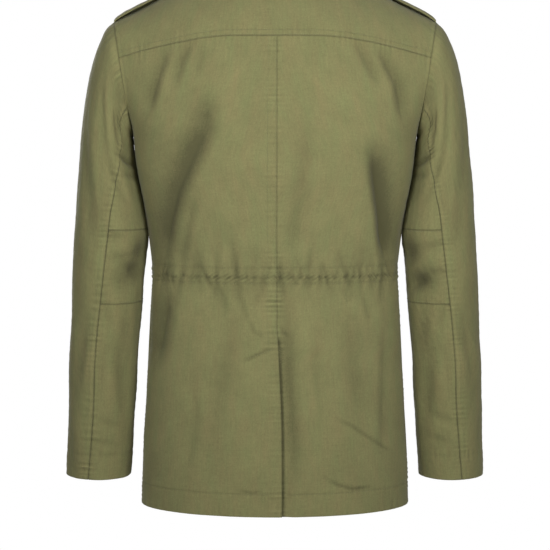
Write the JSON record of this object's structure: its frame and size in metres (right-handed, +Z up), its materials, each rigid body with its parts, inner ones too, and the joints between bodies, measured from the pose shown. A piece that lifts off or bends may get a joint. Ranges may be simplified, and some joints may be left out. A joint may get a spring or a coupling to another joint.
{
  "type": "safari jacket",
  "caption": "Olive green cotton safari jacket, worn form, with a shaped back yoke, gathered waist, centre back vent, shoulder straps and flapped patch pockets.",
  "frame": {"origin": "midway between the neck ends of the two shoulder seams, where the jacket hangs on its wearer", "axes": "+X to the wearer's right, +Y to the wearer's front, +Z up; the pictured back faces -Y"},
  "size_m": [0.6166, 0.2606, 0.8111],
  "materials": {
    "twill": "matt cotton twill, softly washed",
    "button": "matt horn-look plastic"
  },
  "bodies": {
    "root": {"back_left": "twill", "back_right": "twill", "back_yoke": "twill", "front_left": "twill", "front_right": "twill", "sleeve_upper_left": "twill", "sleeve_under_left": "twill", "elbow_panel_left": "twill", "sleeve_cuff_left": "twill", "chest_pocket_left": "twill", "chest_flap_left": "twill", "hip_pocket_left": "twill", "hip_flap_left": "twill", "epaulette_left": "twill", "sleeve_upper_right": "twill", "sleeve_under_right": "twill", "elbow_panel_right": "twill", "sleeve_cuff_right": "twill", "chest_pocket_right": "twill", "chest_flap_right": "twill", "hip_pocket_right": "twill", "hip_flap_right": "twill", "epaulette_right": "twill", "collar_stand": "twill", "collar_fall": "twill", "front_button_1": "button", "front_button_2": "button", "front_button_3": "button", "front_button_4": "button", "front_button_5": "button", "front_button_6": "button", "chest_button_left": "button", "hip_button_left": "button", "epaulette_button_left": "button", "chest_button_right": "button", "hip_button_right": "button", "epaulette_button_right": "button"}
  },
  "joints": []
}
